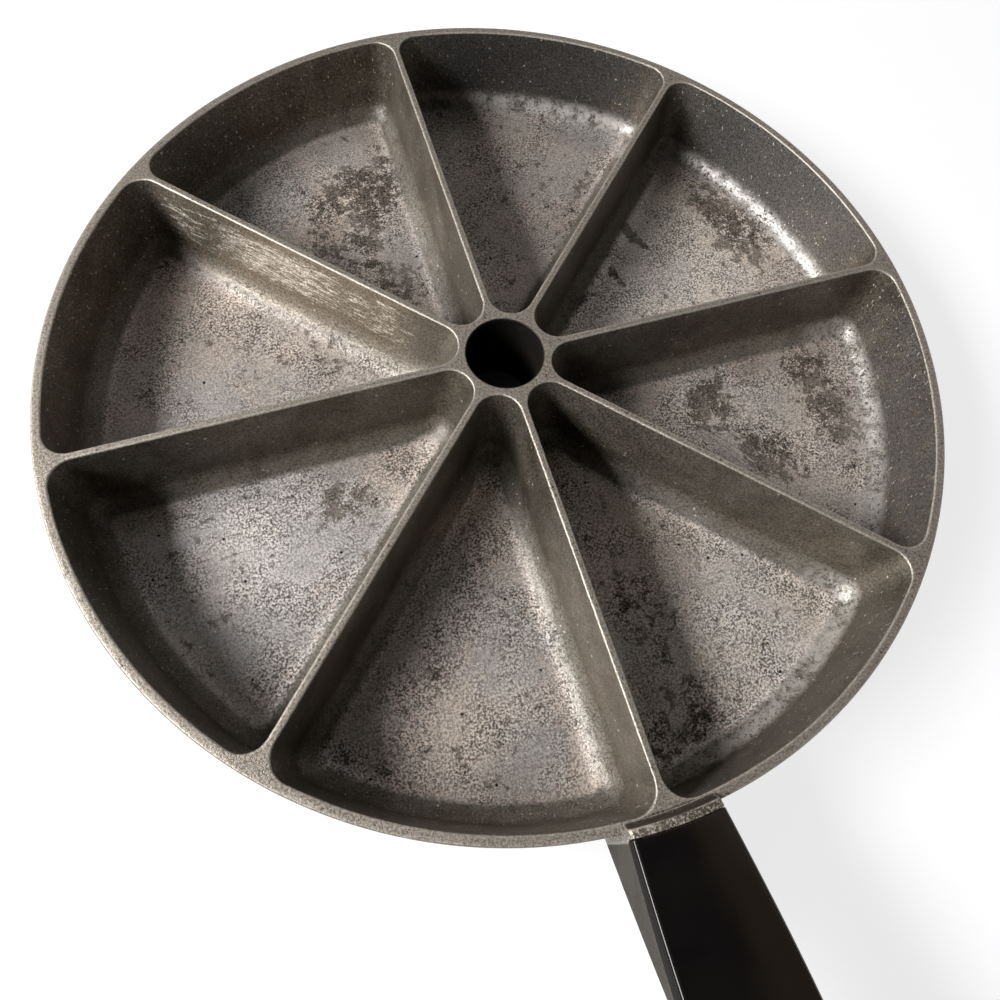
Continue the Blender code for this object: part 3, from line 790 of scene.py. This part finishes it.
def patchesOf(place, name):  # the strongest of several listed ovals
    share = 0.0
    for left, far, long, wide, turn, strength in patches[name]:
        spot = useEffect(stainSpot, Place=place, Left=left * mm, Far=far * mm, Long=long * mm,
                         Wide=wide * mm, Turn=radians(turn))["Stain"]
        share = most(share, times(spot, strength))
    return share


def edgeOf(place):  # how worn a point is as an edge, which markEdges wrote
    node = treeOf(place).nodes.new("ShaderNodeAttribute")
    node.attribute_name = "edge"
    return node.outputs["Fac"]


def newFinish(name):
    material = bpy.data.materials.new(name)
    material.use_nodes = True
    nodes = material.node_tree.nodes
    return material, nodes["Principled BSDF"], nodes.new("ShaderNodeTexCoord").outputs["Object"]


def normalOf(place):
    return place.node.outputs["Normal"]


def roughen(shader, height, distance):
    bump = addNode("Bump", {"Strength": 1.0, "Distance": distance, "Height": height})
    feed(shader.inputs["Normal"], bump[0])


# Cast aluminium: darkened and stained floors, brown patina on the walls, pale worn tops.
metal = {"warm": (0.64, 0.545, 0.475), "cool": (0.56, 0.505, 0.47), "blue": (0.455, 0.445, 0.44),
         "rust": (0.48, 0.375, 0.31), "stained": (0.135, 0.108, 0.082), "mark": (0.050, 0.038, 0.029),
         "patina": (0.208, 0.180, 0.146), "deep": (0.085, 0.066, 0.046), "olive": (0.15, 0.14, 0.112),
         "steel": (0.127, 0.125, 0.129), "ribWorn": (0.86, 0.79, 0.68), "ribBrown": (0.36, 0.29, 0.215),
         # fillet is a pale tone laid on the fillets as a painted highlight.
         "fillet": (0.53, 0.495, 0.46), "top": (0.33, 0.285, 0.24), "edge": (0.62, 0.57, 0.49),
         # cove and hole are near-black: painted shade in the groove at the boss, over its own darker cast
         # surface, and in the hub hole.
         "outside": (0.29, 0.255, 0.22), "cove": (0.055, 0.042, 0.031), "hole": (0.025, 0.021, 0.018),
         "fleck": (0.80, 0.76, 0.66), "pit": (0.010, 0.008, 0.006), "scratch": (0.78, 0.75, 0.71)}
# Patches on the pan, each as x, y, half length and half width in mm, turn in degrees, strength.
patches = {
    "stains": [(-20, 151, 20, 13, 20, 1.0), (-23, 134, 16, 7, 80, 1.0), (-20, 112, 13, 9, 50, 0.9),
               (-8, 158, 13, 8, 90, 0.8), (-36, 128, 10, 12, 30, 0.5), (63, 112, 7, 2.5, 110, 1.0),
               (98, 108, 24, 10, 100, 0.9), (52, 97, 7, 1.8, 100, 1.0), (37, 92, 8, 4, 10, 0.8),
               (64, 46, 12, 9, 60, 1.0), (75, 25, 13, 8, 120, 1.0), (101, 38, 24, 9, 95, 0.9),
               (-52, 46, 11, 6, 10, 0.9), (-60, 41, 5, 4, 0, 0.6), (18, -40, 18, 11, 60, 0.6),
               (20, -10, 24, 8, 85, 0.5), (48, 120, 14, 8, 30, 0.5), (55, 135, 16, 9, 40, 0.45),
               (-45, 96, 12, 7, 130, 0.4)],
    "smooth": [(-52, 156, 18, 13, 10, 1.0), (64, 160, 16, 11, 150, 1.0), (70, 118, 14, 12, 60, 0.8),
               (-88, 48, 16, 14, 80, 1.0), (-20, -8, 18, 12, 70, 0.9), (-20, -36, 12, 10, 60, 0.8),
               (-14, 122, 9, 14, 10, 0.7), (58, 20, 12, 20, 20, 0.7), (-62, 88, 22, 12, 150, 0.5),
               (-76, 34, 40, 28, 22, 1.2), (-84, 76, 18, 24, 0, 0.9)],
    "rust": [(46, 122, 14, 8, 60, 1.0), (-34, 139, 9, 5, 20, 1.0), (48, 56, 12, 8, 100, 0.8),
             (80, 56, 10, 8, 100, 0.8), (-60, 20, 14, 8, 30, 0.6), (10, -30, 10, 8, 60, 0.6)],
    # The next two lists are painted light and painted shade: whole pocket floors made paler or darker.
    "litFloors": [(72, 94, 44, 30, 22, 0.8), (72, 37, 44, 30, -22, 0.8), (34, -14, 44, 30, -68, 1.0)],
    "shadedFloors": [(30, 138, 46, 30, 68, 0.9), (-28, -2, 46, 30, 68, 0.8)],
    # This list is painted shade: two rim walls made darker.
    "shadedWalls": [(46, 178, 48, 16, -22, 1.0), (46, -46, 48, 16, 22, 0.5)],
    "steelWalls": [(46, 176, 46, 15, -22, 1.0), (111, 112, 46, 15, -67, 1.0), (111, 20, 46, 15, 67, 0.7)],
    "drawnAlong": [(46, 108, 26, 14, 60, 1.0), (72, 34, 22, 14, 110, 0.8), (104, 60, 16, 10, 90, 0.6)],
    "drawnAcross": [(-86, 46, 24, 16, 80, 1.0), (-60, 100, 24, 12, 150, 0.5)],
    "wornRibs": [(-52, 118, 34, 8, 135, 1.0), (-75, 141, 12, 8, 135, 0.7), (-30, 96, 16, 8, 135, 0.8)]}


def castAluminiumFinish():
    material, shader, place = newFinish("castAluminium")
    zone = useEffect(panZones, Place=place, Normal=normalOf(place))
    fillet, rimWall, height, radius = zone["Fillet"], zone["RimWall"], zone["Height"], zone["Radius"]
    tint = cloudsOf(place, 30.0, 0.18)
    crust = cloudsOf(moved(place, (0.2, 0, 0)), 70.0, 0.14)
    tarnish = cloudsOf(moved(place, (0, 0.4, 0)), 20.0, 0.16)
    mottle = minus(noiseOf(place, 170.0, 5.0, 0.85, 0.2), 0.5)
    ragged = minus(noiseOf(place, 210.0, 6.0, 0.82, 0.3), 0.5)
    grain = rise(noiseOf(place, 1650.0, 2.0, 0.75), 0.38, 0.62)
    stainSpots = patchesOf(place, "stains")
    stained = rise(scaled(ragged, 7.0, stainSpots), 0.55, 0.75)
    smooth = rise(scaled(mottle, 2.0, patchesOf(place, "smooth")), 0.2, 0.9)
    rusty = rise(scaled(mottle, 2.5, patchesOf(place, "rust")), 0.2, 0.9)
    drawn = most(times(linesOf(place, 52, 14, 0.9, 0.6), patchesOf(place, "drawnAlong")),
                 times(linesOf(place, -8, 12, 0.7, 0.6), patchesOf(place, "drawnAcross")))
    density = plus(summed(times(stainSpots, 0.14), (stained, 0.25), (crust, 0.24)), 0.05)
    density = summed(density, (drawn, 0.35), (smooth, -0.19), (fillet, 0.13))
    coarse = useEffect(castSpeckle, Place=place, Scale=800.0, Density=density)
    tight = useEffect(castSpeckle, Place=moved(place, (0.3, 0.1, 0)), Scale=1350.0,
                      Density=plus(density, 0.05))
    marks = most(coarse["Marks"], tight["Marks"])

    # Floors
    lines = most(linesOf(place, 35, 4, 0.30, 0.35), linesOf(place, -62, 6, 0.30, 0.3))
    color = blend(tint, metal["warm"], metal["cool"])
    color = painted(color, metal, ("blue", smooth, 0.55), ("rust", rusty, 0.5),
                    ("stained", scaled(stained, 0.75, times(crust, 0.15))),
                    ("scratch", lines, scaled(smooth, 0.6, 0.2)),
                    ("mark", marks, summed(0.86, (stained, -0.1), (smooth, -0.45))))
    coarseness = scaled(smooth, -0.15, scaled(crust, 1.0, 0.6))
    color = shade(color, plus(times(minus(grain, 0.5), coarseness), 1.02))
    # Painted light and painted shade: the listed pocket floors are made paler or darker as a whole.
    color = shade(color, scaled(patchesOf(place, "litFloors"), 0.28, 1.0))
    color = shade(color, scaled(patchesOf(place, "shadedFloors"), -0.25, 1.0))
    color = shade(color, scaled(tarnish, -0.36, 1.18))
    color = painted(color, metal, ("mark", drawn, 0.45), ("pit", flecksOf(place, 300.0, 0.17, 0.07)),
                    ("fleck", flecksOf(moved(place, (0.05, 0.02, 0)), 620.0, 0.24, 0.12)))

    # Walls: worn streaks along the ribs, dark slanting hairlines and short bright dashes on the rim's wall
    wallClouds = scaled(mottle, 1.6, cloudsOf(place, 60.0, 0.3))
    steely = rise(scaled(mottle, 3.0, times(patchesOf(place, "steelWalls"), rimWall)), 0.1, 0.9)
    bright = patchesOf(place, "wornRibs")
    ribPlace = moved(vectorOf(zone["Along"], height, zone["Rib"]), scale=(180, 800, 1), turn=3)
    middle = times(rise(height, 9 * mm, 14 * mm), rise(height, 30 * mm, 27 * mm))
    level = scaled(times(bright, middle), -0.17, 0.65)
    ribFlakes = rise(noiseOf(ribPlace, 1.0, 6.0, 0.82, 1.0), level, plus(level, 0.05))
    rimPlace = vectorOf(zone["Round"], height, radius)
    worn = blend(rimWall, ribFlakes, linesOf(rimPlace, -72, 2, 0.5, 0.42))
    wall = blend(wallClouds, metal["patina"], metal["deep"])
    wall = painted(wall, metal, ("olive", crust, 0.5), ("steel", steely, 0.65), ("ribBrown", bright, 0.55),
                   ("ribWorn", worn, 0.9), ("mark", linesOf(rimPlace, -48, 11, 0.5, 0.28), rimWall, 0.7),
                   ("mark", coarse["Marks"], 0.4))
    wall = shade(wall, scaled(grain, 0.9, 0.55))
    # Painted shade: the listed rim walls are darkened.
    wall = shade(wall, scaled(patchesOf(place, "shadedWalls"), -0.45, 1.0))
    wall = blend(times(flecksOf(place, 430.0, 0.19, 0.09), 0.7), wall, metal["fleck"])
    # Painted highlight: the pale fillet tone goes a little on every fillet, and strongly, with more metal and
    # less roughness, on the rim's fillets on the right half.
    filletHighlight = blend(times(marks, 0.92), metal["fillet"], metal["mark"])
    rightRimHighlight = times(rise(radius, 100 * mm, 108 * mm), rise(partsOf(place)[0], -10 * mm, 40 * mm), fillet)
    share = scaled(rightRimHighlight, 0.72, times(fillet, 0.12))
    wall = blend(times(share, rise(scaled(ragged, 2.0, mottle), -0.28, 0.12)), wall, filletHighlight)
    color = blend(zone["Floor"], wall, color)

    # Tops, outside, the boss at the handle and the hub hole
    top = blend(times(marks, 0.9), metal["top"], metal["mark"])
    top = shade(top, scaled(grain, 0.7, 0.65))
    color = blend(zone["Top"], color, top)
    outside = blend(times(coarse["Marks"], 0.5), metal["outside"], metal["mark"])
    outside = blend(times(wallClouds, 0.45), outside, metal["patina"])
    outside = shade(outside, scaled(grain, 0.5, 0.75))
    outside = shade(outside, scaled(tarnish, -0.4, 1.15))
    color = blend(zone["Outside"], color, outside)
    ringLines = linesOf(vectorOf(zone["Round"], plus(radius, height), 0.0), 0, 22, 0.4, 0.55)
    # The cove tone is partly the groove's darker as-cast surface and partly painted shade in the groove.
    color = painted(color, metal, ("edge", ringLines, rise(radius, 122 * mm, 123 * mm), 0.45),
                    ("cove", zone["Cove"], scaled(grain, -0.4, 1.0)))
    lip = blend(rise(minus(grain, coarse["Marks"]), 0.55, 1.1), metal["deep"], metal["edge"])
    color = blend(times(zone["Lip"], 0.85), color, lip)
    wear = times(edgeOf(place), scaled(grain, 0.4, 0.5), scaled(zone["Outside"], -0.75, 1.0))
    color = blend(wear, color, metal["edge"])
    behind = rise(radius, 126.8 * mm, 127.2 * mm)  # the arm, beyond the seam
    # Painted shade: the arm's colour is darkened to about a fifth of the rest.
    color = shade(color, scaled(behind, -0.78, 1.0))
    # Painted shade: the hub hole's wall is near black.
    feed(shader.inputs["Base Color"], blend(zone["Hole"], color, metal["hole"]))

    rough = summed(0.42, (grain, 0.10), (coarse["Marks"], 0.15), (fillet, -0.13), (behind, 0.4))
    feed(shader.inputs["Roughness"], rough)
    shine = summed(0.60, (stained, -0.2), (fillet, -0.32), (rightRimHighlight, 0.16), (wear, 0.1))
    feed(shader.inputs["Metallic"], times(shine, scaled(behind, -0.9, 1.0)))
    bumps = summed(coarse["Height"], (tight["Height"], 0.5), (worn, 0.4), (grain, 0.45))
    roughen(shader, bumps, 0.06 * mm)
    return material


phenolic = {"black": (0.0035, 0.0030, 0.0033), "haze": (0.0065, 0.0055, 0.0050),
            "faded": (0.0135, 0.0098, 0.0068), "dust": (0.035, 0.032, 0.034), "edge": (0.030, 0.021, 0.015)}


def blackPhenolicFinish():  # moulded black, gone brown along one side, with dust and fine scuffs
    material, shader, place = newFinish("blackPhenolic")
    haze = cloudsOf(place, 45.0, 0.2)
    fadedSide = rise(scaled(haze, 2 * mm, partsOf(place)[0]), 0.5 * mm, 8 * mm)
    color = painted(blend(haze, phenolic["black"], phenolic["haze"]), phenolic, ("faded", fadedSide),
                    ("dust", flecksOf(place, 300.0, 0.10, 0.05), 0.5), ("edge", edgeOf(place), 0.5))
    feed(shader.inputs["Base Color"], color)
    scuffs = linesOf(place, 78, 12, 0.3, 0.25)
    sideways = rise(calculate("ABSOLUTE", partsOf(normalOf(place))[0]), 0.75, 0.95)
    rough = summed(0.06, (haze, 0.05), (scuffs, 0.12), (fadedSide, 0.08), (sideways, 0.8))
    feed(shader.inputs["Roughness"], rough)
    shader.inputs["Specular IOR Level"].default_value = 0.25
    roughen(shader, noiseOf(place, 90.0, 3.0), 0.02 * mm)
    return material


plating = {"pale": (0.50, 0.48, 0.45), "dull": (0.40, 0.385, 0.36), "spot": (0.16, 0.12, 0.08),
           "edge": (0.66, 0.64, 0.60)}


def platedSteelFinish():  # dull plating with fine turning marks and darker spots
    material, shader, place = newFinish("platedSteel")
    haze = cloudsOf(place, 400.0, 0.2)
    spots = flecksOf(place, 1600.0, 0.25, 0.12)
    color = blend(haze, plating["pale"], plating["dull"])
    color = painted(color, plating, ("spot", spots, 0.7), ("edge", edgeOf(place)))
    feed(shader.inputs["Base Color"], color)
    feed(shader.inputs["Roughness"], summed(0.28, (haze, 0.12), (spots, 0.25)))
    shader.inputs["Metallic"].default_value = 1.0
    roughen(shader, minus(linesOf(place, 20, 2, 0.12, 0.5), spots), 0.01 * mm)
    return material


brassTones = {"fresh": (0.62, 0.43, 0.18), "tarnished": (0.44, 0.29, 0.12), "edge": (0.78, 0.58, 0.28)}


def turnedBrassFinish():  # tarnished a little, brighter on the knurl
    material, shader, place = newFinish("turnedBrass")
    haze = cloudsOf(place, 350.0, 0.2)
    color = blend(haze, brassTones["fresh"], brassTones["tarnished"])
    feed(shader.inputs["Base Color"], blend(edgeOf(place), color, brassTones["edge"]))
    feed(shader.inputs["Roughness"], scaled(haze, 0.18, 0.25))
    shader.inputs["Metallic"].default_value = 1.0
    roughen(shader, linesOf(place, 0, 3, 0.12, 0.5), 0.01 * mm)
    return material


castAluminium = castAluminiumFinish()
blackPhenolic = blackPhenolicFinish()
platedSteel = platedSteelFinish()
turnedBrass = turnedBrassFinish()
print("finishes:", len(bpy.data.materials))
makeCasting(castAluminium)
makeGrip(blackPhenolic)
makeFixings(platedSteel, turnedBrass)

# The stage: a pale floor that turns white far out, a soft key from the left and a broad light overhead.
stage = {"size": 6, "color": (0.28, 0.28, 0.28), "lift": 0.78, "near": 0.45, "far": 1.6,
         "darkWithin": 80 * mm, "darkUpTo": 110 * mm, "dome": 0.02, "horizon": 1.0}
lamps = {"key": {"towards": (-0.76, 0.05, 0.64), "distance": 1.15, "size": (0.8, 0.30), "level": 27.0},
         "leftPanel": {"towards": (-0.25, 0.50, 0.83), "distance": 1.4, "size": (0.9, 0.7), "level": 0.35},
         "rightPanel": {"towards": (0.62, 0.40, 0.67), "distance": 1.4, "size": (1.0, 0.8), "level": 0.45}}


def makeFloor():
    clearSelection()
    bpy.ops.mesh.primitive_plane_add(size=stage["size"], location=(0, 0, 0))
    floor = bpy.context.object
    floor.name = "floor"
    material, shader, place = newFinish("paleFloor")
    shader.inputs["Base Color"].default_value = (*stage["color"], 1)
    shader.inputs["Roughness"].default_value = 0.9
    shader.inputs["Specular IOR Level"].default_value = 0.0
    shader.inputs["Emission Color"].default_value = (1, 1, 1, 1)
    x, y, z = partsOf(place)
    away = lengthOf(x, minus(y, pan["centreY"]))
    glow = scaled(rise(away, stage["near"], stage["far"]), 1 - stage["lift"], stage["lift"])
    # Painted shade: the floor's glow is cut off under the pan, so it shows dark through the hub hole.
    glow = times(glow, rise(away, stage["darkWithin"], stage["darkUpTo"]))  # dark under the pan
    light = material.node_tree.nodes.new("ShaderNodeLightPath").outputs
    seen = most(most(light["Is Camera Ray"], light["Is Glossy Ray"]), light["Is Transmission Ray"])
    feed(shader.inputs["Emission Strength"], times(glow, seen))
    floor.data.materials.append(material)


def makeWorld():
    world = bpy.data.worlds.new("studio")
    world.use_nodes = True
    nodes = world.node_tree.nodes
    upwards = partsOf(nodes.new("ShaderNodeTexCoord").outputs["Generated"])[2]
    level = scaled(rise(upwards, 0.28, 0.12), stage["horizon"] - stage["dome"], stage["dome"])
    feed(nodes["Background"].inputs["Strength"], level)
    nodes["Background"].inputs["Color"].default_value = (1, 1, 1, 1)
    bpy.context.scene.world = world


def makeLamps():
    middle = Vector((0, 50 * mm, 20 * mm))
    for name, lamp in lamps.items():
        towards = Vector(lamp["towards"]).normalized()
        clearSelection()
        bpy.ops.object.light_add(type="AREA", location=middle + towards * lamp["distance"])
        light = bpy.context.object
        light.name = name
        light.data.shape = "RECTANGLE"
        light.data.size, light.data.size_y = lamp["size"]
        light.data.energy = lamp["level"] * pi * light.data.size * light.data.size_y  # level is brightness
        light.rotation_euler = towards.to_track_quat("Z", "Y").to_euler()


makeFloor()
makeWorld()
makeLamps()
print("stage: floor, sky and", len(lamps), "lamps")
bpy.context.scene.view_settings.view_transform = "Standard"
clearSelection()
